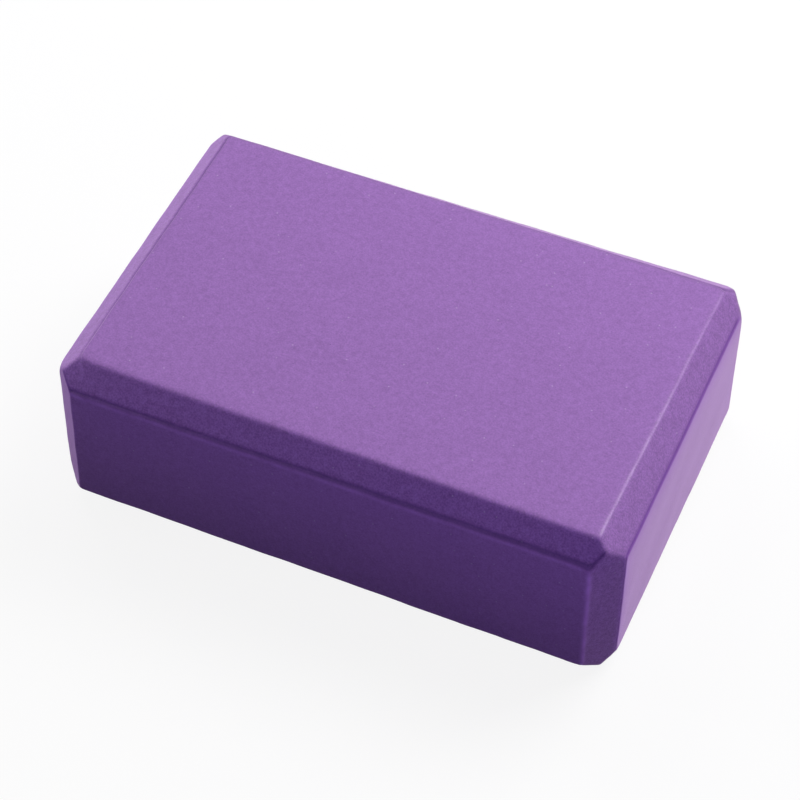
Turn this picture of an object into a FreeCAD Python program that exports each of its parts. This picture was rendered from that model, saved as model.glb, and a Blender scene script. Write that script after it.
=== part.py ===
import FreeCAD, Part
import os
import Sketcher

# A yoga block: three foam sheets bonded face to face, trimmed to one outline and bevelled along all twelve edges.
# Frame: +X along the length, +Y along the width, +Z up, origin at the centre of the face that the block lies on.

# Driving dimensions in millimetres. The height is the sum of the sheets and films.
SIZES = {
    "block_length": 228.6,
    "block_width": 152.4,
    "outer_sheet_thickness": 25.3,
    "core_sheet_thickness": 25.2,
    "bond_film_thickness": 0.2,
    "bevel_leg": 9.5,
    "bevel_step": 0.5,
}

# The pieces from the bottom up, each with the name of its thickness.
STACK = [
    ("bottom_sheet", "outer_sheet_thickness"),
    ("lower_bond_film", "bond_film_thickness"),
    ("core_sheet", "core_sheet_thickness"),
    ("upper_bond_film", "bond_film_thickness"),
    ("top_sheet", "outer_sheet_thickness"),
]

# The outer faces of the block's outline: the place of each, and the sign that points out of the foam.
ENDS = [("Sizes.block_length / 2", "+"), ("-Sizes.block_length / 2", "-")]
SIDES = [("Sizes.block_width / 2", "+"), ("-Sizes.block_width / 2", "-")]
OUTER_FACE = [("0", "-")]
INWARD = {"+": "-", "-": "+"}

LINE_START = 1
LINE_END = 2
TURNED_OVER = FreeCAD.Rotation(FreeCAD.Vector(1, 0, 0), 180)


def make_sheet_of_sizes(doc):
    """The driving dimensions, one named cell each."""
    sheet = doc.addObject("Spreadsheet::Sheet", "Sizes")
    for row, (name, size) in enumerate(SIZES.items(), start=1):
        sheet.set(f"A{row}", name)
        sheet.set(f"B{row}", str(size))
        sheet.setAlias(f"B{row}", name)
    doc.recompute()
    return sheet


def add_sketch(body, name, plane_role):
    """An empty sketch on one of the body's own origin planes."""
    plane = next(feature for feature in body.Origin.OriginFeatures if feature.Role == plane_role)
    sketch = body.newObject("Sketcher::SketchObject", name)
    sketch.AttachmentSupport = [(plane, "")]
    sketch.MapMode = "FlatFace"
    return sketch


def draw_polygon(sketch, corners):
    """A closed polygon whose corners are pairs of expressions, each held at its distances from the origin."""
    places = [[sketch.evalExpression(expression) for expression in corner] for corner in corners]
    points = [FreeCAD.Vector(across, up, 0) for across, up in places]
    lines = [
        sketch.addGeometry(Part.LineSegment(start, end), False)
        for start, end in zip(points, points[1:] + points[:1])
    ]
    for line, following in zip(lines, lines[1:] + lines[:1]):
        sketch.addConstraint(Sketcher.Constraint("Coincident", line, LINE_END, following, LINE_START))
    for line, corner, place in zip(lines, corners, places):
        for direction, expression, distance in zip(("DistanceX", "DistanceY"), corner, place):
            held = sketch.addConstraint(Sketcher.Constraint(direction, line, LINE_START, distance))
            sketch.setExpression(f"Constraints[{held}]", expression)


def bevel_profile(across, up):
    """The waste cut from one edge: a 45 degree bevel that starts and ends with a small step."""
    (edge, out), (level, above) = across, up
    inside = f"{edge} {INWARD[out]} Sizes.bevel_leg"
    below = f"{level} {INWARD[above]} Sizes.bevel_leg"
    beyond = f"{edge} {out} Sizes.bevel_leg"
    over = f"{level} {above} Sizes.bevel_leg"
    return [
        (inside, over),
        (inside, f"{level} {INWARD[above]} Sizes.bevel_step"),
        (f"{edge} {INWARD[out]} Sizes.bevel_step", below),
        (beyond, below),
        (beyond, over),
    ]


def cut_bevels(body, name, plane_role, across_faces, up_faces):
    """Bevels every edge square to a plane, where one of the first faces meets one of the second."""
    before = body.Tip
    sketch = add_sketch(body, f"{name}_profile", plane_role)
    for across in across_faces:
        for up in up_faces:
            draw_polygon(sketch, bevel_profile(across, up))
    pocket = body.newObject("PartDesign::Pocket", name)
    pocket.Profile = sketch
    pocket.Type = "ThroughAll"
    pocket.SideType = "Symmetric"
    body.Document.recompute()
    if not pocket.Shape.Volume < before.Shape.Volume:
        raise RuntimeError(f"{name} cuts nothing")


def make_layer(doc, label, thickness):
    """A flat layer of the stack, trimmed to the block's outline with its four upright edges bevelled."""
    body = doc.addObject("PartDesign::Body", label)
    body.Label = label
    outline = add_sketch(body, f"{label}_outline", "XY_Plane")
    draw_polygon(outline, [(ENDS[i][0], SIDES[j][0]) for i, j in ((0, 0), (1, 0), (1, 1), (0, 1))])
    pad = body.newObject("PartDesign::Pad", f"{label}_pad")
    pad.Profile = outline
    pad.setExpression("Length", f"Sizes.{thickness}")
    doc.recompute()
    cut_bevels(body, f"{label}_corner_bevels", "XY_Plane", ENDS, SIDES)
    return body


def bevel_outer_face(body):
    """Bevels the four edges of an outer sheet's own lower face."""
    cut_bevels(body, f"{body.Label}_long_bevels", "YZ_Plane", SIDES, OUTER_FACE)
    cut_bevels(body, f"{body.Label}_end_bevels", "XZ_Plane", ENDS, OUTER_FACE)


def make_block(doc):
    """Stacks the layers; the outer sheets are alike, and the top one lies turned over."""
    bodies = []
    levels = ["0"]
    for label, thickness in STACK:
        body = make_layer(doc, label, thickness)
        bottom = " + ".join(levels)
        levels.append(f"Sizes.{thickness}")
        if thickness == "outer_sheet_thickness":
            bevel_outer_face(body)
        if label == "top_sheet":
            body.Placement.Rotation = TURNED_OVER
            bottom = " + ".join(levels)
        body.setExpression("Placement.Base.z", bottom)
        bodies.append(body)
    doc.recompute()
    return bodies


def check(doc, bodies):
    """Stops the build if anything failed to compute or a piece is not one sound solid."""
    for thing in doc.Objects:
        if {"Invalid", "Error"} & set(thing.State):
            raise RuntimeError(f"{thing.Label} failed: {thing.State}")
    for body in bodies:
        if body.Shape.isNull() or not body.Shape.isValid() or len(body.Shape.Solids) != 1:
            raise RuntimeError(f"{body.Label} is not one valid solid")


def main():
    """Builds the block, checks it and writes one file per piece."""
    doc = FreeCAD.newDocument("yoga_block")
    make_sheet_of_sizes(doc)
    bodies = make_block(doc)
    check(doc, bodies)
    os.makedirs("parts", exist_ok=True)
    for body in bodies:
        body.Shape.exportStep(f"parts/{body.Label}.step")
        box = body.Shape.BoundBox
        print(f"{body.Label}: z {box.ZMin:.2f} to {box.ZMax:.2f} mm, {body.Shape.Volume / 1000:.1f} cm3")


main()
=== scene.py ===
"""A foam yoga block: three EVA sheets bonded face to face, trimmed square and bevelled along every edge.

Sizes in the classes are in millimetres, because that is how such a block is cut. Shapes are worked out round
the centre of the block, and their meshes are in metres in the row frame: +X along the length, +Y along the
width, +Z up, with the origin at the centre of the face that the block lies on.
"""

import itertools
import logging
import math
from dataclasses import dataclass, field, fields
from enum import Enum
from functools import cached_property
from typing import Any

import bpy
import numpy as np
from mathutils import Matrix, Vector


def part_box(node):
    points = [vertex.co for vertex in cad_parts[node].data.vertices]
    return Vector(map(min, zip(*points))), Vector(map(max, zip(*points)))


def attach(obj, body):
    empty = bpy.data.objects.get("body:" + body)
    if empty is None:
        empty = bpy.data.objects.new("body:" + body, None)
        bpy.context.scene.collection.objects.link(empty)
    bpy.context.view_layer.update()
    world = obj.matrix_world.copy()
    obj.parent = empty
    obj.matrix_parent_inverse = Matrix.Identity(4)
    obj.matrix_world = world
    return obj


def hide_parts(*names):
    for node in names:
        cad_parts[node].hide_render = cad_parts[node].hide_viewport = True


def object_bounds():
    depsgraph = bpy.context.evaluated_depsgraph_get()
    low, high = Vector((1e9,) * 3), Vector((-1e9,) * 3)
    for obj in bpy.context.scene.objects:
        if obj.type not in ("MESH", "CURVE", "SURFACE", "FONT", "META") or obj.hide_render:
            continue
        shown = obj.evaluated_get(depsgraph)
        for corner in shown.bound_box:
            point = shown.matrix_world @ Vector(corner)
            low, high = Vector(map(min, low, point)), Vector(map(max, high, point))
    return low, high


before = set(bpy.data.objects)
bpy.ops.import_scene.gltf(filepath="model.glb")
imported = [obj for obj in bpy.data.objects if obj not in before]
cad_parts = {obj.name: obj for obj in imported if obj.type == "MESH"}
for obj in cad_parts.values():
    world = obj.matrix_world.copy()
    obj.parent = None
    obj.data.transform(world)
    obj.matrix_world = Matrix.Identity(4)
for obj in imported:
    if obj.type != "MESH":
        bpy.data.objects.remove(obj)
CAD_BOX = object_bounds()

LOG = logging.getLogger("yoga_block")
METRES_PER_MM = 0.001
MM_PER_METRE = 1000.0
BODY = "root"
WHITE = "#FFFFFF"
# The leg of a plain bevel along either of its faces, in mm.
PLAIN_LEG = 9.5
# The places of a Mix node's colour sockets: the colour below, the colour above and the result.
BELOW = 6
ABOVE = 7
MIXED = 2


class Face(Enum):
    """A flat face of the block, by the axis that it is square to and the side that it is on."""

    LEFT_END = (0, -1)
    RIGHT_END = (0, 1)
    FRONT_SIDE = (1, -1)
    BACK_SIDE = (1, 1)
    BOTTOM = (2, -1)
    TOP = (2, 1)

    @property
    def axis(self) -> int:
        """The axis that the face is square to."""
        return self.value[0]

    @property
    def sign(self) -> int:
        """Which way along its axis the face looks."""
        return self.value[1]

    @property
    def order(self) -> int:
        """The face's place among the surfaces of the block."""
        return list(Face).index(self)


class OuterSide(Enum):
    """The side of a layer that is an outer face of the block."""

    NONE = 0
    UPPER = 1
    LOWER = -1


@dataclass(frozen=True)
class Border:
    """How the foam is left along one border of a bevel, with sizes in mm and shares from 0 to 1.

    The radius rounds the border over. The step is how far the bevel lies below it. The crease is a groove
    on the bevel, at its offset behind the border, darkened with painted shade. The roll is how
    far the face falls off to the border.

    Pale is how far the border is lightened, partly by rubbing and partly as a painted highlight, and polish
    how glossy rubbing has made it. The low-sheen share is how far the colour of the face beside it is
    deepened, as painted shade for a sheen that is weaker there. The lip is a painted highlight on a narrow
    strip of that face beside the crease, where the ledge would catch the light. The fade is how much there is
    of the crease and of these marks at the negative and at the positive end of the edge.
    """

    radius: float = 0.0
    step: float = 0.1
    crease: float = 0.0
    crease_run: float = 0.3
    crease_offset: float = 0.6
    pale: float = 0.12
    polish: float = 0.0
    painted_low_sheen: float = 0.0
    lip: float = 0.0
    fade: tuple[float, float] = (1.0, 1.0)
    roll: float = 0.08
    roll_reach: float = 1.8


class Edge(Enum):
    """The kinds of border that the block shows, with their painted shade and highlight."""

    CUT = Border()
    SOFT = Border(radius=2.6, pale=0.0)
    # Rounded with a glossy coat, and a little painted highlight.
    POLISHED = Border(radius=0.8, pale=0.1, polish=1.0, fade=(1.3, 0.4))
    # A ledge with painted shade in its crease and a painted highlight on the strip below it.
    LEDGE = Border(
        radius=0.35,
        step=0.46,
        crease=0.5,
        crease_run=0.48,
        crease_offset=0.4,
        pale=0.0,
        lip=0.32,
        fade=(0.9, 1.15),
        roll=0.12,
        roll_reach=2.2,
    )
    # A sunk ledge with painted shade in its crease, and the face beside it deepened as painted shade for a
    # weaker sheen.
    SUNK_LEDGE = Border(
        step=0.5,
        crease=0.42,
        crease_run=0.45,
        crease_offset=0.0,
        pale=0.0,
        painted_low_sheen=1.0,
        roll=0.3,
        roll_reach=3.5,
    )
    # The groove and the lines below darken their creases with painted shade.
    GROOVE = Border(crease=0.3, pale=0.1)
    DARK_LINE = Border(crease=0.55, crease_run=0.42, pale=0.08, fade=(0.35, 1.1))
    DULL_LINE = Border(crease=0.5, crease_run=0.5, crease_offset=0.45, pale=0.0)
    # A fine line with painted shade in its crease, and the face beside it deepened as painted shade for a
    # weaker sheen.
    FINE_LINE = Border(
        crease=0.12,
        crease_run=0.25,
        crease_offset=0.2,
        pale=0.0,
        painted_low_sheen=1.0,
        roll=0.12,
        roll_reach=3.5,
    )
    # A rounded edge with a painted highlight along it.
    ROUND_WITH_PAINTED_HIGHLIGHT = Border(radius=1.2, pale=1.0, polish=0.1)
    TURNED = Border(radius=3.0, pale=0.0)


@dataclass(frozen=True)
class Bevel:
    """One bevelled edge, cut by hand feed, so that its width changes a little along the edge.

    The widths are measured along the two faces, each at the negative and at the positive end of the edge.
    The flares are what the cutter took off in addition close to those ends. The low-sheen share is how far
    the bevel's colour is deepened, as painted shade for a sheen that is weaker there.
    """

    first: Face
    second: Face
    on_first: tuple[float, float] = (PLAIN_LEG, PLAIN_LEG)
    on_second: tuple[float, float] = (PLAIN_LEG, PLAIN_LEG)
    flare_first: tuple[float, float] = (0.0, 0.0)
    flare_second: tuple[float, float] = (0.0, 0.0)
    first_edge: Edge = Edge.CUT
    second_edge: Edge = Edge.GROOVE
    painted_low_sheen: float = 0.0

    @property
    def edge_axis(self) -> int:
        """The axis that the edge runs along: the one that is left of axes 0, 1 and 2, which add up to 3."""
        return 3 - self.first.axis - self.second.axis

    @property
    def borders(self) -> tuple[tuple[Face, Border], tuple[Face, Border]]:
        """The two faces that the bevel meets, each with its border."""
        return (self.first, self.first_edge.value), (self.second, self.second_edge.value)


# Widths fitted to the photograph's edges for the bevels that it shows, and plain legs for the rest.
BEVELS = (
    Bevel(
        Face.TOP,
        Face.FRONT_SIDE,
        on_first=(9.5, 7.0),
        on_second=(10.2, 10.1),
        flare_first=(1.5, 0.0),
        flare_second=(-0.3, 1.1),
        first_edge=Edge.SOFT,
        second_edge=Edge.LEDGE,
    ),
    Bevel(
        Face.TOP,
        Face.BACK_SIDE,
        on_first=(9.8, 10.3),
        on_second=(10.75, 8.75),
        first_edge=Edge.DULL_LINE,
    ),
    Bevel(
        Face.TOP,
        Face.LEFT_END,
        on_first=(9.5, 9.2),
        on_second=(8.7, 8.8),
        first_edge=Edge.DARK_LINE,
        second_edge=Edge.CUT,
    ),
    Bevel(
        Face.TOP,
        Face.RIGHT_END,
        on_first=(10.3, 7.8),
        on_second=(10.2, 10.2),
        first_edge=Edge.POLISHED,
        second_edge=Edge.SUNK_LEDGE,
    ),
    Bevel(Face.BOTTOM, Face.FRONT_SIDE, on_second=(9.6, 7.4)),
    Bevel(Face.BOTTOM, Face.BACK_SIDE),
    Bevel(Face.BOTTOM, Face.LEFT_END),
    Bevel(Face.BOTTOM, Face.RIGHT_END, on_first=(5.5, 9.5), on_second=(6.6, 5.0)),
    # This corner's colour is deepened with painted shade, for a sheen that is weaker there.
    Bevel(Face.LEFT_END, Face.FRONT_SIDE, on_first=(10.8, 9.3), second_edge=Edge.CUT, painted_low_sheen=0.4),
    Bevel(
        Face.RIGHT_END,
        Face.FRONT_SIDE,
        on_first=(12.0, 10.6),
        on_second=(9.3, 10.7),
        flare_second=(0.0, 0.9),
        first_edge=Edge.FINE_LINE,
        second_edge=Edge.ROUND_WITH_PAINTED_HIGHLIGHT,
    ),
    Bevel(Face.LEFT_END, Face.BACK_SIDE, on_first=(9.5, 8.3), second_edge=Edge.CUT),
    Bevel(
        Face.RIGHT_END,
        Face.BACK_SIDE,
        on_first=(5.0, 8.7),
        flare_first=(0.0, 1.4),
        first_edge=Edge.TURNED,
        second_edge=Edge.CUT,
    ),
)


@dataclass(frozen=True)
class Mitre:
    """The line at a corner of the block where two bevels meet, rounded over or creased, with painted shade in
    the crease, with sizes in mm.

    Both bevels lie along the shared face, and each goes over to one of the other two.
    """

    shared: Face
    second: Face
    third: Face
    radius: float = 0.0
    crease: float = 0.0
    crease_run: float = 0.4


# The mitres that the photograph shows as more than a plain cut. The creased ones carry painted shade in the
# crease.
SEEN_MITRES = (
    Mitre(Face.FRONT_SIDE, Face.TOP, Face.RIGHT_END, crease=0.5, crease_run=0.55),
    Mitre(Face.FRONT_SIDE, Face.TOP, Face.LEFT_END, crease=0.3),
    Mitre(Face.TOP, Face.FRONT_SIDE, Face.RIGHT_END, radius=3.0),
    Mitre(Face.RIGHT_END, Face.TOP, Face.FRONT_SIDE, radius=3.0),
    Mitre(Face.TOP, Face.BACK_SIDE, Face.RIGHT_END, radius=3.5, crease=0.5, crease_run=0.75),
    Mitre(Face.RIGHT_END, Face.TOP, Face.BACK_SIDE, radius=4.5, crease=0.5, crease_run=0.75),
    Mitre(Face.TOP, Face.BACK_SIDE, Face.LEFT_END, radius=2.5),
    Mitre(Face.FRONT_SIDE, Face.BOTTOM, Face.RIGHT_END, radius=3.0),
    Mitre(Face.RIGHT_END, Face.BOTTOM, Face.FRONT_SIDE, radius=3.5),
)


@dataclass(frozen=True)
class Corner:
    """A point at a corner of the block where three surfaces meet, rounded over by a radius in mm.

    A face of the block is named by itself, and a bevel by the two faces that it lies between.
    """

    surfaces: tuple[tuple[Face, ...], ...]
    radius: float


# The corners that the photograph shows blunted.
SEEN_CORNERS = (
    Corner(
        ((Face.LEFT_END,), (Face.LEFT_END, Face.TOP), (Face.LEFT_END, Face.FRONT_SIDE)),
        radius=4.0,
    ),
    Corner(
        ((Face.RIGHT_END,), (Face.RIGHT_END, Face.TOP), (Face.RIGHT_END, Face.BACK_SIDE)),
        radius=8.0,
    ),
    Corner(
        ((Face.TOP, Face.BACK_SIDE), (Face.TOP, Face.RIGHT_END), (Face.RIGHT_END, Face.BACK_SIDE)),
        radius=3.0,
    ),
)


@dataclass(frozen=True)
class Ripple:
    """Smooth random unevenness, always inwards from the true surface, with sizes in mm."""

    depth: float
    shortest_wave: float
    longest_wave: float
    seed: int
    waves: int = 28

    def at(self, points: np.ndarray) -> np.ndarray:
        """How deep the unevenness goes at each point.

        The sum of sine waves with random directions, lengths and phases, squeezed by tanh between nought and
        the depth.

        Args:
            points: places in mm, one row each.

        Returns:
            One depth in mm for each point.
        """
        random = np.random.default_rng(self.seed)
        directions = random.normal(size=(3, self.waves))
        directions /= np.linalg.norm(directions, axis=0)
        lengths = random.uniform(self.shortest_wave, self.longest_wave, self.waves)
        phases = random.uniform(0, 2 * math.pi, self.waves)
        total = np.sin(points @ (directions * 2 * math.pi / lengths) + phases).sum(axis=1)
        return self.depth * (0.5 + 0.5 * np.tanh(total / math.sqrt(self.waves / 2)))


@dataclass(frozen=True)
class Crease:
    """A narrow groove beside the border of two surfaces, given by their places among the block's.

    It runs on the first surface, at its offset in mm behind the second, and fades along its axis. Its depth
    also sets the painted shade in it.
    """

    first: int
    second: int
    depth: float
    run: float
    offset: float = 0.0
    axis: int = 0
    fade: tuple[float, float] = (1.0, 1.0)


@dataclass(frozen=True)
class Rounding:
    """A plane that helps to round over a border or a corner.

    It mixes two or three of the block's surfaces by their shares, and is tangent to the ball of a radius
    in mm that touches them all. The length is that of the mixed normal.
    """

    shares: tuple[tuple[int, float], ...]
    radius: float
    length: float


@dataclass(frozen=True)
class WearAndPaintedLight:
    """The marks at each point, in shares from 0 to 1: the sawn grain, the polish, paleness that is partly
    from rubbing and partly painted highlight, painted shade in the creases, and painted shade for a weaker
    sheen.
    """

    pale: np.ndarray
    polish: np.ndarray
    crease: np.ndarray
    painted_low_sheen: np.ndarray
    sawn: np.ndarray

    def named(self) -> dict[str, np.ndarray]:
        """The shares by the names that the finish reads them under."""
        return {share.name: getattr(self, share.name) for share in fields(self)}


@dataclass(frozen=True)
class BlockForm:
    """The outer surface of the whole block, which all its layers share, with sizes in mm.

    The surface is the soft maximum of eighteen planes, six faces and twelve bevels, and lies where
    k log(sum exp(d / k)) = 0. Here d is the distance outside each plane and k, the edge softness, sets how
    round the edges are. Borders, mitres and corners that are rounder than that have more planes between
    their own, each tangent to a cylinder or ball of their radius. The bevels' steps, the creases, the roll
    of the faces and the foam's unevenness are then cut into the surface along its normal.

    A run is the distance over which a form or a mark dies out, and the least width only keeps a division
    from nought.
    """

    half: np.ndarray
    bevels: tuple[Bevel, ...] = BEVELS
    nominal_leg: float = PLAIN_LEG
    edge_softness: float = 0.16
    edge_wobble: float = 0.15
    wobble_runs: tuple[float, float] = (5.3, 8.9)
    flare_run: float = 4.0
    plain_mitre_radius: float = 1.2
    step_run: float = 0.25
    step_run_per_radius: float = 0.5
    least_width: float = 0.01
    # The crease depth at which the painted shade in a crease is full, in mm.
    full_crease: float = 0.4
    roll_run: float = 0.5
    pale_run: float = 0.5
    pale_run_per_radius: float = 0.25
    polish_run: float = 0.5
    # How far the painted shade for a weaker sheen reaches onto a face, and where and how wide the painted
    # highlight on the lip lies, in mm.
    painted_low_sheen_run: float = 3.5
    lip_offset: float = 0.85
    lip_run: float = 0.65
    least_patch: float = 0.75
    patches: Ripple = Ripple(depth=0.5, shortest_wave=3.0, longest_wave=9.0, seed=13)
    ripples: tuple[Ripple, ...] = (
        Ripple(depth=0.12, shortest_wave=24.0, longest_wave=42.0, seed=11),
        Ripple(depth=0.03, shortest_wave=4.5, longest_wave=7.0, seed=12),
    )
    settle_rounds: int = 8
    edge_parts: tuple[float, ...] = (0.25, 0.5, 0.75)
    corner_parts: tuple[tuple[float, ...], ...] = (
        (0.34, 0.33, 0.33),
        (0.5, 0.25, 0.25),
        (0.3, 0.5, 0.2),
        (0.3, 0.2, 0.5),
    )

    def bevel_order(self, bevel: Bevel) -> int:
        """A bevel's place among the surfaces of the block, after the faces."""
        return len(Face) + self.bevels.index(bevel)

    def order_of(self, *faces: Face) -> int:
        """The place of a surface among those of the block.

        Args:
            faces: one face, or the two that a bevel lies between.

        Returns:
            The place of the face or of the bevel.
        """
        if len(faces) == 1:
            return faces[0].order
        between = next(bevel for bevel in self.bevels if {bevel.first, bevel.second} == set(faces))
        return self.bevel_order(between)

    @cached_property
    def mitres(self) -> list[tuple[int, int, Mitre]]:
        """All the mitres, three at each corner of the block.

        Returns:
            Each mitre after the places of its two bevels.
        """
        seen = {(mitre.shared, frozenset((mitre.second, mitre.third))): mitre for mitre in SEEN_MITRES}
        found = []
        for shared, second, third in itertools.product(Face, repeat=3):
            if (second.axis - shared.axis) % 3 == 1 and (third.axis - shared.axis) % 3 == 2:
                plain = Mitre(shared, second, third, self.plain_mitre_radius)
                mitre = seen.get((shared, frozenset((second, third))), plain)
                found.append((self.order_of(shared, second), self.order_of(shared, third), mitre))
        return found

    @cached_property
    def creases(self) -> list[Crease]:
        """The creases at the foot of bevels and along mitres, each with its painted shade.

        Returns:
            One crease for each border and each mitre that is pressed.
        """
        found = []
        for bevel in self.bevels:
            for face, border in bevel.borders:
                if border.crease:
                    found.append(
                        Crease(
                            self.bevel_order(bevel),
                            face.order,
                            border.crease,
                            border.crease_run,
                            border.crease_offset,
                            bevel.edge_axis,
                            border.fade,
                        )
                    )
        for first, second, mitre in self.mitres:
            if mitre.crease:
                found.append(Crease(first, second, mitre.crease, mitre.crease_run))
        return found

    def rounding(self, orders: tuple[int, ...], shares: tuple[float, ...], radius: float) -> Rounding:
        """A plane that mixes some of the block's surfaces, with a normal as long as sqrt(sum(w w' cosine)).

        Args:
            orders: the places of the surfaces.
            shares: the share of each.
            radius: the radius in mm of the ball that the plane is tangent to.

        Returns:
            The plane.
        """
        parts = tuple(zip(orders, shares))
        square = sum(
            one * other * self.cosine(first, second)
            for (first, one), (second, other) in itertools.product(parts, repeat=2)
        )
        return Rounding(parts, radius, math.sqrt(square))

    @staticmethod
    def cosine(first: int, second: int) -> float:
        """The cosine between two surfaces: 45 degrees from a face to its bevels, and 60 between bevels.

        Args:
            first: the place of one surface.
            second: the place of the other.

        Returns:
            The cosine of the angle between their normals.
        """
        if first == second:
            return 1.0
        return math.sqrt(0.5) if min(first, second) < len(Face) else 0.5

    @cached_property
    def roundings(self) -> list[Rounding]:
        """The planes that round over the borders, mitres and corners that have a radius of their own.

        Returns:
            A few planes for each of them, from one surface over to the next.
        """
        edges = [
            (self.bevel_order(bevel), face.order, border.radius)
            for bevel in self.bevels
            for face, border in bevel.borders
        ]
        edges += [(first, second, mitre.radius) for first, second, mitre in self.mitres]
        found = [
            self.rounding((first, second), (part, 1 - part), radius)
            for first, second, radius in edges
            if radius
            for part in self.edge_parts
        ]
        for corner in SEEN_CORNERS:
            orders = tuple(self.order_of(*faces) for faces in corner.surfaces)
            found += [self.rounding(orders, shares, corner.radius) for shares in self.corner_parts]
        return found

    def distances(self, points: np.ndarray) -> tuple[np.ndarray, np.ndarray]:
        """How far each point is outside each plane.

        A face's distance is the reach past it. A bevel with legs a and b on its two faces has the distance
        (a p + b q + a b) / hypot(a, b), where p and q are the reaches past those faces. The legs go straight
        from one end of the edge to the other, with a wobble that is the product of two sines. The flares are
        added with exp(-distance from the end / run).

        Args:
            points: places in mm from the block's centre, one row each.

        Returns:
            The distances in mm, one row for each plane, and the planes' outward normals at each point.
        """
        count = len(points)
        distances = np.empty((len(Face) + len(self.bevels), count))
        normals = np.zeros((len(distances), count, 3))
        for face in Face:
            distances[face.order] = face.sign * points[:, face.axis] - self.half[face.axis]
            normals[face.order, :, face.axis] = face.sign
        short, long = self.wobble_runs
        for bevel in self.bevels:
            order = self.bevel_order(bevel)
            place = points[:, bevel.edge_axis]
            along = 0.5 + 0.5 * place / self.half[bevel.edge_axis]
            wobble = self.edge_wobble * np.sin(place / short + order) * np.sin(place / long + 2 * order)
            inside = self.half[bevel.edge_axis] - self.nominal_leg + np.stack([place, -place])
            near_ends = np.exp(-np.maximum(inside, 0.0) / self.flare_run)
            leg_first = np.interp(along, (0, 1), bevel.on_first) + wobble + bevel.flare_first @ near_ends
            leg_second = np.interp(along, (0, 1), bevel.on_second) - wobble + bevel.flare_second @ near_ends
            span = np.hypot(leg_first, leg_second)
            reach = leg_first * distances[bevel.first.order] + leg_second * distances[bevel.second.order]
            distances[order] = (reach + leg_first * leg_second) / span
            normals[order, :, bevel.first.axis] = bevel.first.sign * leg_first / span
            normals[order, :, bevel.second.axis] = bevel.second.sign * leg_second / span
        return distances, normals

    def soft_maximum(self, distances: np.ndarray) -> tuple[np.ndarray, np.ndarray]:
        """The blended distance, k log(sum exp(d / k)), and each plane's share in its gradient.

        A plane between some others, with the shares w of them, has the distance (sum(w d) + r) / n - r,
        where r is the radius and n the length of the mixed normal. Its part of the gradient goes to the
        others by w / n.

        Args:
            distances: how far each point is outside each plane, one row for each plane.

        Returns:
            The blended distance at each point, and the shares, one row for each plane.
        """
        rows = [distances]
        for rounding in self.roundings:
            mixed = sum(share * distances[order] for order, share in rounding.shares)
            rows.append(((mixed + rounding.radius) / rounding.length - rounding.radius)[None, :])
        together = np.concatenate(rows)
        highest = together.max(axis=0)
        powers = np.exp((together - highest) / self.edge_softness)
        total = powers.sum(axis=0)
        powers /= total
        shares = powers[: len(distances)].copy()
        for power, rounding in zip(powers[len(distances) :], self.roundings):
            for order, share in rounding.shares:
                shares[order] += share / rounding.length * power
        return highest + self.edge_softness * np.log(total), shares

    def settle(self, points: np.ndarray) -> tuple[np.ndarray, np.ndarray]:
        """Moves points onto the blended surface by Newton's method, along the gradient of its distance.

        Args:
            points: places near the surface, in mm from the block's centre.

        Returns:
            The points on the surface and the outward unit normals there.
        """
        for _ in range(self.settle_rounds):
            distances, normals = self.distances(points)
            level, shares = self.soft_maximum(distances)
            gradient = np.einsum("in,ind->nd", shares, normals)
            points = points - gradient * (level / (gradient**2).sum(axis=1))[:, None]
        return points, gradient / np.linalg.norm(gradient, axis=1)[:, None]

    def recess(self, distances: np.ndarray, shares: np.ndarray) -> np.ndarray:
        """The depth of the bevels below their true planes, stepped at both borders.

        Across a bevel the depth goes straight from the step at its first border to the step at its second,
        times 1 - exp(-(distance / run) squared) at each border, so that both borders keep their place. The
        run is longer at a rounded border.

        Args:
            distances: how far each point is outside each plane.
            shares: how far each point belongs to each plane.

        Returns:
            One depth in mm for each point.
        """
        depth = np.zeros(distances.shape[1])
        for bevel in self.bevels:
            (first, first_border), (second, second_border) = bevel.borders
            inside_first = np.maximum(-distances[first.order], 0.0)
            inside_second = np.maximum(-distances[second.order], 0.0)
            across = inside_first / np.maximum(inside_first + inside_second, self.least_width)
            step = first_border.step + (second_border.step - first_border.step) * across
            for inside, border in ((inside_first, first_border), (inside_second, second_border)):
                run = self.step_run + self.step_run_per_radius * border.radius
                step = step * (1 - np.exp(-((inside / run) ** 2)))
            depth += np.minimum(shares[self.bevel_order(bevel)], 1.0) * step
        return depth

    def faded(self, points: np.ndarray, axis: int, fade: tuple[float, float]) -> np.ndarray:
        """A share that goes straight from its value at the negative end of an axis to that at the other."""
        return np.interp(points[:, axis], (-self.half[axis], self.half[axis]), fade)

    def press(self, points: np.ndarray, distances: np.ndarray) -> np.ndarray:
        """The depth of the creases, a bell curve round each line.

        Args:
            points: places in mm from the block's centre, one row each.
            distances: how far each point is outside each plane.

        Returns:
            One depth in mm for each point.
        """
        depth = np.zeros(distances.shape[1])
        for crease in self.creases:
            off = distances[crease.first] ** 2 + (distances[crease.second] + crease.offset) ** 2
            most = crease.depth * self.faded(points, crease.axis, crease.fade)
            depth += most * np.exp(-off / (2 * crease.run**2))
        return depth

    def roll(self, distances: np.ndarray) -> np.ndarray:
        """The depth to which faces fall off towards their borders, dying out exponentially on both sides.

        Args:
            distances: how far each point is outside each plane.

        Returns:
            One depth in mm for each point.
        """
        depth = np.zeros(distances.shape[1])
        for bevel in self.bevels:
            for face, border in bevel.borders:
                onto_face = np.minimum(distances[self.bevel_order(bevel)], 0.0) / border.roll_reach
                onto_bevel = np.minimum(distances[face.order], 0.0) / self.roll_run
                depth += border.roll * np.exp(onto_face + onto_bevel)
        return depth

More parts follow.
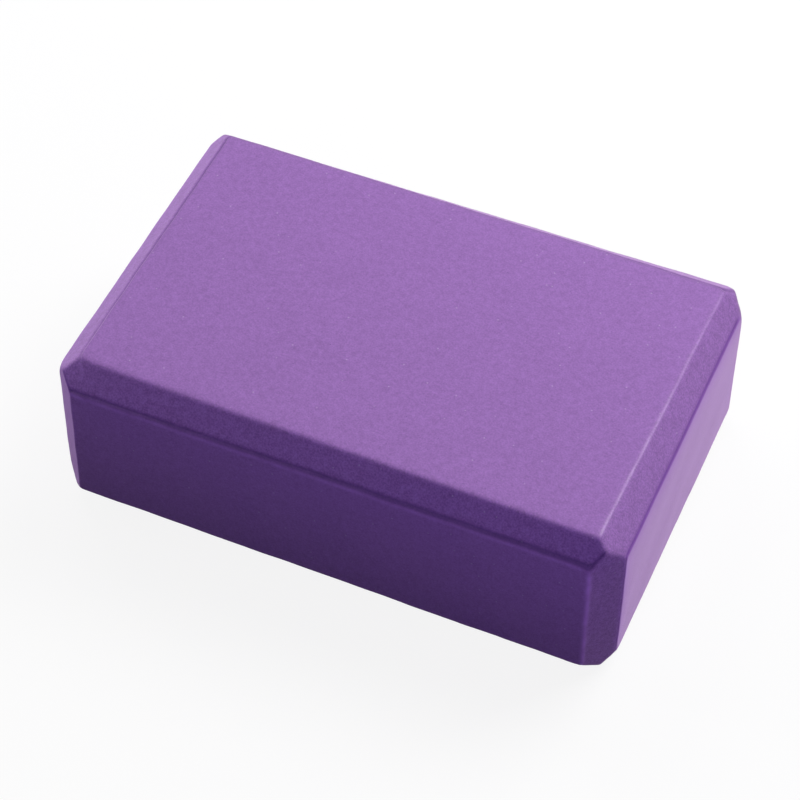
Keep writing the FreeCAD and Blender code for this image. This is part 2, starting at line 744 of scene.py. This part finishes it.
    def wear_and_painted_light(
        self, points: np.ndarray, distances: np.ndarray, crease_and_shade: np.ndarray, shares: np.ndarray
    ) -> WearAndPaintedLight:
        """The marks of rubbing and the painted highlight and shade, each dying out from the borders that have
        it.

        Paleness dies out by a bell curve, and the rest exponentially. The lip is a second bell curve of
        Paleness, partly from rubbing and partly a painted highlight, dies out by a bell curve, and the rest
        exponentially.
        The lip is a second bell curve of paleness, a painted highlight on the face at its offset from the
        border.
        The paleness, the polish and the lip are patchy: their shares are multiplied by between three quarters
        and one and a quarter, smoothly at random.

        Args:
            points: places in mm from the block's centre, one row each.
            distances: how far each point is outside each plane.
            crease_and_shade: how deep each point lies in a crease, which also sets its painted shade.
            shares: how far each point belongs to each plane.

        Returns:
            The shares at each point.
        """
        pale, polish, painted_low_sheen = (np.zeros(len(crease_and_shade)) for _ in range(3))
        patchy = self.least_patch + self.patches.at(points)
        sawn = np.clip(shares[len(Face) :].sum(axis=0), 0, 1)
        for bevel in self.bevels:
            # Painted shade for a weaker sheen, over whole bevels and on faces beside some borders.
            painted_low_sheen = np.maximum(painted_low_sheen, bevel.painted_low_sheen * np.minimum(shares[self.bevel_order(bevel)], 1))
            for face, border in bevel.borders:
                marked = patchy * self.faded(points, bevel.edge_axis, border.fade)
                onto_face = np.minimum(distances[self.bevel_order(bevel)], 0.0)
                onto_bevel = np.minimum(distances[face.order], 0.0)
                off = onto_face + onto_bevel
                reach = self.pale_run + self.pale_run_per_radius * border.radius
                pale = np.maximum(pale, border.pale * marked * np.exp(-((off / reach) ** 2)))
                polish = np.maximum(polish, border.polish * marked * np.exp(off / self.polish_run))
                # A painted highlight on the strip below a crease, where a ledge would catch the light.
                from_lip = (onto_face + self.lip_offset) / self.lip_run
                lip = np.exp(onto_bevel / self.pale_run - from_lip**2)
                pale = np.maximum(pale, border.lip * patchy * lip)
                beside = onto_face / self.painted_low_sheen_run + onto_bevel / self.pale_run
                painted_low_sheen = np.maximum(painted_low_sheen, border.painted_low_sheen * np.exp(beside))
        # Painted shade in the creases, by their depth.
        crease = np.clip(crease_and_shade / self.full_crease, 0, 1)
        return WearAndPaintedLight(np.minimum(pale, 1), np.minimum(polish, 1), crease, painted_low_sheen, sawn)

    def skin(self, start: np.ndarray) -> tuple[np.ndarray, WearAndPaintedLight]:
        """The finished surface for a grid of points that starts near it.

        Args:
            start: places near the surface, in mm from the block's centre.

        Returns:
            The finished places, and the marks and the painted highlight and shade at each of them.
        """
        points, normals = self.settle(start)
        distances, _ = self.distances(points)
        _, shares = self.soft_maximum(distances)
        crease_and_shade = self.press(points, distances)
        depth = self.recess(distances, shares) + crease_and_shade + self.roll(distances)
        depth += sum(ripple.at(points) for ripple in self.ripples)
        return points - normals * depth[:, None], self.wear_and_painted_light(points, distances, crease_and_shade, shares)


@dataclass(frozen=True)
class GridLines:
    """How far apart the mesh lines lie in mm: close on the bevels and their borders, wide on the flats."""

    close: float = 0.2
    wide: float = 3.0
    border_band: float = 11.6
    growth: float = 0.3
    samples: int = 6001

    def between(self, low: float, high: float, half: float) -> np.ndarray:
        """Places of the lines from one end to the other.

        The spacing grows in proportion to the distance from the band along the border. Evenly spaced values
        of the running total of 1 / spacing are turned back into places.

        Args:
            low: the first line, in mm from the block's centre.
            high: the last line.
            half: the block's half size along this axis.

        Returns:
            The places in mm, in order.
        """
        fine = np.linspace(low, high, self.samples)
        inside = np.maximum(half - self.border_band - np.abs(fine), 0.0)
        density = 1.0 / np.clip(self.close + self.growth * inside, self.close, self.wide)
        total = np.concatenate([[0.0], np.cumsum((density[1:] + density[:-1]) / 2 * np.diff(fine))])
        return np.interp(np.linspace(0.0, total[-1], math.ceil(total[-1]) + 1), total, fine)


def linear(colour: str) -> tuple[float, float, float, float]:
    """Turns an sRGB colour into the linear one that a shader takes, by the sRGB standard's own curve.

    Args:
        colour: the colour in hex, after a hash sign.

    Returns:
        Red, green, blue and an alpha of 1.
    """
    parts = [int(colour[i : i + 2], 16) / 255 for i in (1, 3, 5)]
    red, green, blue = (p / 12.92 if p <= 0.04045 else ((p + 0.055) / 1.055) ** 2.4 for p in parts)
    return red, green, blue, 1.0


def add_node(
    tree: bpy.types.NodeTree, kind: str, inputs: dict[str | int, Any], **settings: Any
) -> bpy.types.Node:
    """Adds one node to a tree.

    Args:
        tree: the tree that gets the node.
        kind: the node's type name.
        inputs: what goes into its sockets by name or number, an output socket to link or a value to set.
        settings: the node's own properties.

    Returns:
        The new node.
    """
    node = tree.nodes.new(kind)
    for name, value in settings.items():
        setattr(node, name, value)
    for socket, value in inputs.items():
        if isinstance(value, bpy.types.NodeSocket):
            tree.links.new(value, node.inputs[socket])
        else:
            node.inputs[socket].default_value = value
    return node


def new_material(name: str) -> tuple[bpy.types.Material, bpy.types.NodeTree]:
    """Starts a material.

    Args:
        name: what the real material is, and how its surface was made.

    Returns:
        The material and its node tree, which is empty.
    """
    material = bpy.data.materials.new(name)
    material.use_nodes = True
    material.node_tree.nodes.clear()
    return material, material.node_tree


@dataclass(frozen=True)
class CutFoamFinish:
    """Closed-cell EVA foam, sawn from a bun and sanded.

    It looks matt and even, with a fine grain of cut cells, a faint cloudiness from the bun, a few pale specks
    and pinholes with painted shade in them, edges lightened partly by rubbing and partly with a painted
    highlight, polished here and there, painted shade in the creases, and colour deepened beside some borders
    as painted shade for a sheen that is weaker there.
    """

    name: str = "eva_foam_sawn_and_sanded"
    dark_cells: str = "#86619E"
    light_cells: str = "#A578C1"
    speck: str = "#D3C2DF"
    # The dark of the pinholes is painted shade in them.
    pinhole: str = "#573573"
    # Painted shade in the creases.
    crease_and_shade: str = "#563A6E"
    crease_shade_share: float = 0.55
    # Painted shade beside some borders and on one bevel, for a sheen that is weaker there.
    painted_low_sheen: str = "#9446CA"
    painted_low_sheen_share: float = 0.65
    # The lightening along the edges: partly from rubbing, partly a painted highlight.
    burnish_and_highlight: str = "#D29BF0"
    burnish_and_highlight_share: float = 1.0
    cloud_mm: float = 18.0
    mottle_mm: float = 2.4
    # Real EVA cells are about 0.2 mm across, which is half a pixel, so the grain is drawn coarser.
    grain_mm: float = 0.7
    noise_octaves: float = 2.0
    noise_roughness: float = 0.55
    speck_spacing_mm: float = 5.5
    speck_radius_mm: float = 0.5
    speck_share: float = 0.3
    pinhole_spacing_mm: float = 3.6
    pinhole_radius_mm: float = 0.3
    pinhole_share: float = 0.5
    # The share of a dot's radius that has its full colour, before it fades out.
    dot_core: float = 0.3
    grain_height_mm: float = 0.04
    # A burst cell stands up from the grain and a pinhole lies below it, by so many times the grain's height.
    dot_relief: float = 2.5
    middle_tone: float = 0.5
    cloud_share: float = 0.14
    mottle_share: float = 0.65
    grain_share: float = 1.3
    sawn_gain: float = 0.7
    roughness: float = 0.6
    polish_roughness: float = 0.3
    ior: float = 1.5
    specular_level: float = 0.1
    # Cut cell walls stand up like a very short nap, which lightens a face seen or lit at a low angle.
    sheen: str = "#F2CEFF"
    sheen_weight: float = 1.0
    sheen_roughness: float = 0.3

    def make(self) -> bpy.types.Material:
        """Makes the material, with its patterns on Object coordinates, and its marks and painted highlight
        and shade on the pieces' attributes.

        Returns:
            The material.
        """
        material, tree = new_material(self.name)
        place = add_node(tree, "ShaderNodeTexCoord", {}).outputs["Object"]
        wear_and_painted_light = {
            share.name: add_node(tree, "ShaderNodeAttribute", {}, attribute_name=share.name).outputs["Fac"]
            for share in fields(WearAndPaintedLight)
        }
        colour, height = self.add_cells(tree, place, wear_and_painted_light["sawn"])
        colour, height = self.add_dots(tree, place, colour, height)
        colour = self.add_marks(tree, wear_and_painted_light, colour)
        bump = add_node(
            tree,
            "ShaderNodeBump",
            {"Height": height, "Distance": self.grain_height_mm * METRES_PER_MM, "Strength": 1.0},
        )
        foam = add_node(
            tree,
            "ShaderNodeBsdfPrincipled",
            {
                "Base Color": colour,
                "Roughness": self.roughness,
                "Normal": bump.outputs["Normal"],
                "IOR": self.ior,
                "Coat Weight": wear_and_painted_light["polish"],
                "Coat Roughness": self.polish_roughness,
                "Coat IOR": self.ior,
                "Specular IOR Level": self.specular_level,
                "Sheen Weight": self.sheen_weight,
                "Sheen Roughness": self.sheen_roughness,
                "Sheen Tint": linear(self.sheen),
            },
        )
        add_node(tree, "ShaderNodeOutputMaterial", {"Surface": foam.outputs["BSDF"]})
        return material

    def add_cells(
        self, tree: bpy.types.NodeTree, place: bpy.types.NodeSocket, sawn: bpy.types.NodeSocket
    ) -> tuple[bpy.types.NodeSocket, bpy.types.NodeSocket]:
        """The cut cells: clouds, mottles and grain, three noises added by their shares round a middle tone.

        The bevels are sawn more coarsely than the faces, so their tones lie further from the middle one.

        Args:
            tree: the material's node tree.
            place: Object coordinates.
            sawn: how far a point belongs to a bevel.

        Returns:
            The colour of the cells, and the height of the grain.
        """
        sizes = (self.cloud_mm, self.mottle_mm, self.grain_mm)
        noises = [
            add_node(
                tree,
                "ShaderNodeTexNoise",
                {
                    "Vector": place,
                    "Scale": MM_PER_METRE / size,
                    "Detail": self.noise_octaves,
                    "Roughness": self.noise_roughness,
                },
            ).outputs["Fac"]
            for size in sizes
        ]
        shares = (self.cloud_share, self.mottle_share, self.grain_share)
        tone: Any = self.middle_tone * (1 - sum(shares))
        for noise, share in zip(noises, shares):
            tone = add_node(
                tree, "ShaderNodeMath", {0: noise, 1: share, 2: tone}, operation="MULTIPLY_ADD"
            ).outputs[0]
        gain = add_node(
            tree, "ShaderNodeMath", {0: sawn, 1: self.sawn_gain, 2: 1.0}, operation="MULTIPLY_ADD"
        ).outputs[0]
        off = add_node(
            tree, "ShaderNodeMath", {0: tone, 1: self.middle_tone}, operation="SUBTRACT"
        ).outputs[0]
        tone = add_node(
            tree, "ShaderNodeMath", {0: off, 1: gain, 2: self.middle_tone}, operation="MULTIPLY_ADD"
        ).outputs[0]
        cells = {"Factor": tone, BELOW: linear(self.dark_cells), ABOVE: linear(self.light_cells)}
        colour = add_node(tree, "ShaderNodeMix", cells, data_type="RGBA").outputs[MIXED]
        return colour, noises[-1]

    def add_dots(
        self,
        tree: bpy.types.NodeTree,
        place: bpy.types.NodeSocket,
        colour: bpy.types.NodeSocket,
        height: bpy.types.NodeSocket,
    ) -> tuple[bpy.types.NodeSocket, bpy.types.NodeSocket]:
        """Lays pale burst cells, and pinholes darkened with painted shade, over the foam, round the scattered
        points of two patterns.

        Args:
            tree: the material's node tree.
            place: Object coordinates.
            colour: the colour so far.
            height: the height so far.

        Returns:
            The colour and the height with the dots.
        """
        burst = (self.speck, self.speck_spacing_mm, self.speck_radius_mm, self.speck_share)
        hollow = (self.pinhole, self.pinhole_spacing_mm, self.pinhole_radius_mm, self.pinhole_share)
        for (shade, spacing, radius, strength), side in ((burst, 1), (hollow, -1)):
            scattered = {"Vector": place, "Scale": MM_PER_METRE / spacing}
            dot = add_node(
                tree,
                "ShaderNodeMapRange",
                {
                    "Value": add_node(tree, "ShaderNodeTexVoronoi", scattered).outputs["Distance"],
                    "From Min": self.dot_core * radius / spacing,
                    "From Max": radius / spacing,
                    "To Min": strength,
                    "To Max": 0.0,
                },
                interpolation_type="SMOOTHSTEP",
            ).outputs["Result"]
            over = {"Factor": dot, BELOW: colour, ABOVE: linear(shade)}
            colour = add_node(tree, "ShaderNodeMix", over, data_type="RGBA").outputs[MIXED]
            relief = {0: dot, 1: side * self.dot_relief, 2: height}
            height = add_node(tree, "ShaderNodeMath", relief, operation="MULTIPLY_ADD").outputs[0]
        return colour, height

    def add_marks(
        self, tree: bpy.types.NodeTree, wear_and_painted_light: dict[str, bpy.types.NodeSocket], colour: bpy.types.NodeSocket
    ) -> bpy.types.NodeSocket:
        """Lays the painted shade and highlight over the foam: paleness that is partly from rubbing and partly
        painted highlight, painted shade for a weaker sheen, and painted shade in the creases.

        Args:
            tree: the material's node tree.
            wear_and_painted_light: the shares of these marks by name.
            colour: the colour so far.

        Returns:
            The colour with the marks.
        """
        marks = (
            ("painted_low_sheen", self.painted_low_sheen_share, self.painted_low_sheen),
            ("pale", self.burnish_and_highlight_share, self.burnish_and_highlight),
            ("crease", self.crease_shade_share, self.crease_and_shade),
        )
        for name, most, shade in marks:
            marked = {0: wear_and_painted_light[name], 1: most}
            share = add_node(tree, "ShaderNodeMath", marked, operation="MULTIPLY").outputs[0]
            over = {"Factor": share, BELOW: colour, ABOVE: linear(shade)}
            colour = add_node(tree, "ShaderNodeMix", over, data_type="RGBA").outputs[MIXED]
        return colour


@dataclass(frozen=True)
class AdhesiveFinish(CutFoamFinish):
    """Contact adhesive tinted to match, rolled on thin, trimmed flush and sanded over with the foam.

    Its edge takes the foam's nap, marks and painted highlight and shade, so it hardly shows: it is only more
    even than the cut cells beside it.
    """

    name: str = "contact_adhesive_rolled_thin"
    dark_cells: str = "#8B65A3"
    light_cells: str = "#A075BB"
    speck_share: float = 0.0
    pinhole_share: float = 0.0
    grain_height_mm: float = 0.01


@dataclass
class Layer:
    """One layer of the bonded stack, between two levels of the block's height."""

    node: str
    form: BlockForm
    finish: bpy.types.Material
    outer: OuterSide = OuterSide.NONE
    grid: GridLines = field(default_factory=GridLines)
    slot: str = ""

    def limits(self) -> tuple[float, float]:
        """The layer's lowest and highest level in mm from the block's centre, as its node has them."""
        low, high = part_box(self.node)
        return low.z * MM_PER_METRE - self.form.half[2], high.z * MM_PER_METRE - self.form.half[2]

    def plan_lines(self) -> tuple[np.ndarray, np.ndarray]:
        """The mesh lines along the length and the width, from the middle of one bevel to that of the other.

        Returns:
            The places of both sets in mm from the block's centre.
        """
        reach = self.form.half - self.form.nominal_leg / 2
        along, across = (self.grid.between(-reach[i], reach[i], self.form.half[i]) for i in (0, 1))
        return along, across

    def side_start(self, levels: np.ndarray) -> np.ndarray:
        """A start for the sides: rings at each level, anticlockwise from the front left corner.

        A side stands out to its face, less max(0, distance past the inner end of the nearest bevel).

        Args:
            levels: the rings' heights in mm from the block's centre.

        Returns:
            Places by level, place round the ring and coordinate.
        """
        leg, half = self.form.nominal_leg, self.form.half
        along, across = self.plan_lines()
        runs = ((1, -1, along[:-1]), (0, 1, across[:-1]), (1, 1, along[:0:-1]), (0, -1, across[:0:-1]))
        sides = []
        for axis, sign, lines in runs:
            past_end = np.abs(lines)[None, :] - (half[1 - axis] - leg)
            past_top = np.abs(levels)[:, None] - (half[2] - leg)
            drop = np.maximum(np.maximum(past_end, past_top), 0.0)
            side = np.empty(drop.shape + (3,))
            side[..., axis] = sign * (half[axis] - drop)
            side[..., 1 - axis] = lines[None, :]
            side[..., 2] = levels[:, None]
            sides.append(side)
        return np.concatenate(sides, axis=1)

    def flat_start(self) -> np.ndarray:
        """A start for the outer face, on the grid of the plan's lines.

        Its height falls by max(0, distance past the inner end of the nearest bevel).

        Returns:
            Places by line along the length, line along the width and coordinate.
        """
        leg, half = self.form.nominal_leg, self.form.half
        along, across = np.meshgrid(*self.plan_lines(), indexing="ij")
        drop = np.maximum(np.abs(along) - (half[0] - leg), np.abs(across) - (half[1] - leg))
        return np.stack([along, across, half[2] - np.maximum(drop, 0.0)], axis=-1)

    def surface(self) -> tuple[np.ndarray, np.ndarray, list[np.ndarray]]:
        """The layer's start points and faces. A layer with a lower outer face is an upper one mirrored.

        Returns:
            The points, the corners of the quads, and the rings of corners that close the layer at its bonds.
        """
        low, high = self.limits()
        if self.outer is OuterSide.LOWER:
            low, high = -high, -low
        if self.outer is not OuterSide.NONE:
            high = self.form.half[2] - self.form.nominal_leg / 2
        levels = self.grid.between(low, high, self.form.half[2])
        sides = self.side_start(levels)
        rows, ring = sides.shape[:2]
        numbers = np.arange(rows * ring).reshape(rows, ring)
        after = np.roll(numbers, -1, axis=1)
        quads = [np.stack([numbers[:-1], after[:-1], after[1:], numbers[1:]], axis=-1).reshape(-1, 4)]
        points = sides.reshape(-1, 3)
        caps = [numbers[0, ::-1]]
        if self.outer is OuterSide.NONE:
            caps.append(numbers[-1])
        else:
            points, patch = self.add_flat(points, numbers[-1])
            quads.append(patch)
        faces = np.concatenate(quads)
        if self.outer is OuterSide.LOWER:
            points = points * (1, 1, -1)
            faces = faces[:, ::-1]
            caps = [cap[::-1] for cap in caps]
        return points, faces, caps

    def add_flat(self, points: np.ndarray, rim: np.ndarray) -> tuple[np.ndarray, np.ndarray]:
        """Adds the outer face, which shares its border with the top ring of the sides.

        Args:
            points: the sides' points.
            rim: the numbers of the top ring's points.

        Returns:
            All the points, and the corners of the outer face's quads.
        """
        flat = self.flat_start()
        long, wide = flat.shape[0] - 1, flat.shape[1] - 1
        numbers = np.empty(flat.shape[:2], int)
        inner = flat[1:-1, 1:-1]
        rows, columns = inner.shape[:2]
        numbers[1:-1, 1:-1] = len(points) + np.arange(rows * columns).reshape(rows, columns)
        closed = np.append(rim, rim[0])
        numbers[:, 0] = closed[: long + 1]
        numbers[-1, :] = closed[long : long + wide + 1]
        numbers[::-1, -1] = closed[long + wide : 2 * long + wide + 1]
        numbers[0, ::-1] = closed[2 * long + wide :]
        corners = (numbers[:-1, :-1], numbers[1:, :-1], numbers[1:, 1:], numbers[:-1, 1:])
        return np.concatenate([points, inner.reshape(-1, 3)]), np.stack(corners, axis=-1).reshape(-1, 4)

    def build(self) -> bpy.types.Object:
        """Makes the layer's mesh and object, dresses it, and puts it in its node's place.

        Returns:
            The layer's object.
        """
        start, quads, caps = self.surface()
        points, wear_and_painted_light = self.form.skin(start)
        mesh = bpy.data.meshes.new(f"foam_{self.node}")
        self.fill(mesh, (points + (0, 0, self.form.half[2])) * METRES_PER_MM, quads, caps)
        for name, values in wear_and_painted_light.named().items():
            mesh.attributes.new(name, "FLOAT", "POINT").data.foreach_set("value", values.astype(np.float32))
        mesh.materials.append(self.finish)
        piece = bpy.data.objects.new(f"dressed_{self.node}", mesh)
        bpy.context.scene.collection.objects.link(piece)
        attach(piece, BODY)
        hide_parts(self.node)
        return piece

    @staticmethod
    def fill(mesh: bpy.types.Mesh, points: np.ndarray, quads: np.ndarray, caps: list[np.ndarray]) -> None:
        """Puts points and faces into a mesh, smooth everywhere but at the rims of the bonded faces.

        Args:
            mesh: the empty mesh.
            points: places in metres.
            quads: corners of the quads.
            caps: corners of the bonded faces.
        """
        sizes = np.concatenate([np.full(len(quads), 4), [len(cap) for cap in caps]])
        corners = np.concatenate([quads.ravel(), *caps]).astype(np.int32)
        mesh.vertices.add(len(points))
        mesh.vertices.foreach_set("co", points.astype(np.float32).ravel())
        mesh.loops.add(len(corners))
        mesh.loops.foreach_set("vertex_index", corners)
        mesh.polygons.add(len(sizes))
        mesh.polygons.foreach_set("loop_start", (np.cumsum(sizes) - sizes).astype(np.int32))
        mesh.update(calc_edges=True)
        mesh.validate()
        mesh.shade_smooth()
        rim = np.zeros(len(points), int)
        for number, cap in enumerate(caps, start=1):
            rim[cap] = number
        ends = np.empty(len(mesh.edges) * 2, np.int32)
        mesh.edges.foreach_get("vertices", ends)
        first, second = rim[ends.reshape(-1, 2)].T
        sharp = mesh.attributes.new("sharp_edge", "BOOLEAN", "EDGE")
        sharp.data.foreach_set("value", (first > 0) & (first == second))


@dataclass
class FoamSheet(Layer):
    """A sheet of firm foam. It keeps its shape under its own weight, so it is as full as a pad can be."""

    slot: str = "foam"
    fill_share: float = 1.0

    def build(self) -> bpy.types.Object:
        """Builds the sheet.

        Returns:
            The sheet's object.
        """
        piece = super().build()
        return piece


@dataclass
class BondFilm(Layer):
    """The coat of adhesive between two sheets, trimmed and bevelled at the corners with them."""

    slot: str = "bond"


@dataclass(frozen=True)
class Softbox:
    """A soft light, aimed at the middle of the block. Azimuth 0 is the front, and 90 the right end.

    Angles are in degrees. A grid on the light narrows its spread, and a raised light with a grid lights
    mostly the upper part of what it is aimed at.
    """

    name: str
    azimuth: float
    elevation: float
    power_w: float
    width_m: float
    height_m: float
    distance_m: float
    colour: str = WHITE
    spread: float = 180.0
    raised_m: float = 0.0

    def add(self, target: Vector) -> None:
        """Hangs the light at its distance from the target, turned there and then raised across its own axis.

        Args:
            target: the place in metres that it is turned to.
        """
        turn, rise = math.radians(self.azimuth), math.radians(self.elevation)
        out = Vector((math.sin(turn) * math.cos(rise), -math.cos(turn) * math.cos(rise), math.sin(rise)))
        lamp = bpy.data.lights.new(self.name, "AREA")
        lamp.energy = self.power_w
        lamp.shape = "RECTANGLE"
        lamp.size = self.width_m
        lamp.size_y = self.height_m
        lamp.color = linear(self.colour)[:3]
        lamp.spread = math.radians(self.spread)
        light = bpy.data.objects.new(self.name, lamp)
        turned = out.to_track_quat("Z", "Y")
        light.location = target + turned @ Vector((0.0, self.raised_m, self.distance_m))
        light.rotation_euler = turned.to_euler()
        bpy.context.scene.collection.objects.link(light)


# The tints of the two weak lights that fill the shade on the front and on its right corner.
COOL_FILL = "#CBB8FF"
VIOLET_FILL = "#C0A0FF"
SOFTBOXES = (
    Softbox(
        "key_softbox",
        azimuth=225,
        elevation=45,
        power_w=11.0,
        width_m=1.2,
        height_m=1.2,
        distance_m=2.0,
    ),
    Softbox(
        "back_softbox",
        azimuth=155,
        elevation=55,
        power_w=17.7,
        width_m=1.2,
        height_m=1.2,
        distance_m=2.0,
    ),
    Softbox(
        "left_softbox",
        azimuth=268,
        elevation=12,
        power_w=11.4,
        width_m=0.9,
        height_m=0.4,
        distance_m=1.6,
    ),
    Softbox(
        "right_softbox",
        azimuth=105,
        elevation=6,
        power_w=2.85,
        width_m=0.9,
        height_m=0.25,
        distance_m=1.4,
    ),
    Softbox(
        "rim_softbox",
        azimuth=147,
        elevation=42,
        power_w=5.0,
        width_m=0.5,
        height_m=0.5,
        distance_m=1.0,
    ),
    Softbox(
        "front_softbox",
        azimuth=0,
        elevation=16,
        power_w=0.103,
        width_m=0.7,
        height_m=0.2,
        distance_m=0.7,
        colour=COOL_FILL,
        spread=18.0,
        raised_m=0.074,
    ),
    Softbox(
        "corner_softbox",
        azimuth=42,
        elevation=14,
        power_w=0.28,
        width_m=0.4,
        height_m=0.2,
        distance_m=0.6,
        colour=VIOLET_FILL,
    ),
)


@dataclass(frozen=True)
class Studio:
    """A pale seamless floor, a white surround and soft lights that leave the front of the block in shade."""

    softboxes: tuple[Softbox, ...] = SOFTBOXES
    ambient: str = "#101214"
    floor: str = "#606060"
    floor_side_m: float = 6.0
    floor_glow: float = 0.88

    def add(self, target: Vector) -> None:
        """Makes the floor, the surround and the lights.

        Args:
            target: the place in metres that the lights are aimed at.
        """
        self.add_floor()
        self.add_surround()
        for softbox in self.softboxes:
            softbox.add(target)

    @staticmethod
    def seen(tree: bpy.types.NodeTree) -> bpy.types.NodeSocket:
        """Tells the rays that show the background: straight from the camera, or by gloss or through glass.

        Args:
            tree: the node tree of the background.

        Returns:
            A socket with 1 for such rays and 0 for others.
        """
        path = add_node(tree, "ShaderNodeLightPath", {})
        shown = path.outputs["Is Camera Ray"]
        for name in ("Is Glossy Ray", "Is Transmission Ray"):
            either = {0: shown, 1: path.outputs[name]}
            shown = add_node(tree, "ShaderNodeMath", either, operation="MAXIMUM").outputs[0]
        return shown

    def add_floor(self) -> None:
        """A flat floor that shows nearly white under the block, with the block's soft shadow on it."""
        material, tree = new_material("matt_white_paper_sweep")
        paper = add_node(tree, "ShaderNodeBsdfDiffuse", {"Color": linear(self.floor)}).outputs[0]
        glow = add_node(tree, "ShaderNodeEmission", {"Color": linear(WHITE), "Strength": self.floor_glow})
        bright = add_node(tree, "ShaderNodeAddShader", {0: paper, 1: glow.outputs[0]}).outputs[0]
        both = add_node(tree, "ShaderNodeMixShader", {0: self.seen(tree), 1: paper, 2: bright})
        add_node(tree, "ShaderNodeOutputMaterial", {"Surface": both.outputs[0]})
        material.cycles.emission_sampling = "NONE"
        half = self.floor_side_m / 2
        corners = [(-half, -half, 0.0), (half, -half, 0.0), (half, half, 0.0), (-half, half, 0.0)]
        mesh = bpy.data.meshes.new("floor")
        mesh.from_pydata(corners, [], [(0, 1, 2, 3)])
        mesh.materials.append(material)
        floor = bpy.data.objects.new("floor", mesh)
        bpy.context.scene.collection.objects.link(floor)

    def add_surround(self) -> None:
        """The world: white where it is seen, and a dim even light elsewhere."""
        world = bpy.data.worlds.new("white_surround")
        world.use_nodes = True
        tree = world.node_tree
        tree.nodes.clear()
        dim, white = (
            add_node(tree, "ShaderNodeBackground", {"Color": linear(shade), "Strength": 1.0}).outputs[0]
            for shade in (self.ambient, WHITE)
        )
        both = add_node(tree, "ShaderNodeMixShader", {0: self.seen(tree), 1: dim, 2: white})
        add_node(tree, "ShaderNodeOutputWorld", {"Surface": both.outputs[0]})
        bpy.context.scene.world = world


@dataclass(frozen=True)
class PhotoCamera:
    """The camera of the photograph, as fitted to the block's edges in it. Azimuth 0 looks at the front."""

    focal_px: float = 2740.4
    image_px: float = 800.0
    sensor_mm: float = 36.0
    azimuth: float = 21.87
    elevation: float = 48.61
    roll: float = 1.47
    eye_mm: tuple[float, float, float] = (263.6, -660.4, 837.7)
    nearest_m: float = 0.01

    def add(self) -> None:
        """Makes the camera and sets it as the scene's own."""
        turn, rise, roll = (math.radians(angle) for angle in (self.azimuth, self.elevation, self.roll))
        back = Vector((math.sin(turn) * math.cos(rise), -math.cos(turn) * math.cos(rise), math.sin(rise)))
        level = Vector((math.cos(turn), math.sin(turn), 0.0))
        rising = back.cross(level)
        right = level * math.cos(roll) + rising * math.sin(roll)
        up = rising * math.cos(roll) - level * math.sin(roll)
        lens = bpy.data.cameras.new("photo_camera")
        lens.sensor_width = self.sensor_mm
        lens.lens = self.focal_px / self.image_px * self.sensor_mm
        lens.clip_start = self.nearest_m
        camera = bpy.data.objects.new("photo_camera", lens)
        camera.matrix_world = Matrix.LocRotScale(
            Vector(self.eye_mm) * METRES_PER_MM, Matrix((right, up, back)).transposed(), None
        )
        bpy.context.scene.collection.objects.link(camera)
        bpy.context.scene.camera = camera


def main() -> None:
    """Builds the block layer by layer from the bottom, then the studio and the camera."""
    logging.basicConfig(level=logging.INFO, format="%(name)s: %(message)s")
    bpy.context.scene.view_settings.view_transform = "Standard"
    low, high = CAD_BOX
    form = BlockForm(half=np.array(high - low) / 2 * MM_PER_METRE)
    foam = CutFoamFinish().make()
    adhesive = AdhesiveFinish().make()
    layers = (
        FoamSheet("bottom_sheet", form, foam, OuterSide.LOWER),
        BondFilm("lower_bond_film", form, adhesive),
        FoamSheet("core_sheet", form, foam),
        BondFilm("upper_bond_film", form, adhesive),
        FoamSheet("top_sheet", form, foam, OuterSide.UPPER),
    )
    for layer in layers:
        piece = layer.build()
        LOG.info("%s stands for %s with %d faces", piece.name, layer.node, len(piece.data.polygons))
    Studio().add((low + high) / 2)
    PhotoCamera().add()


if __name__ == "__main__":
    main()
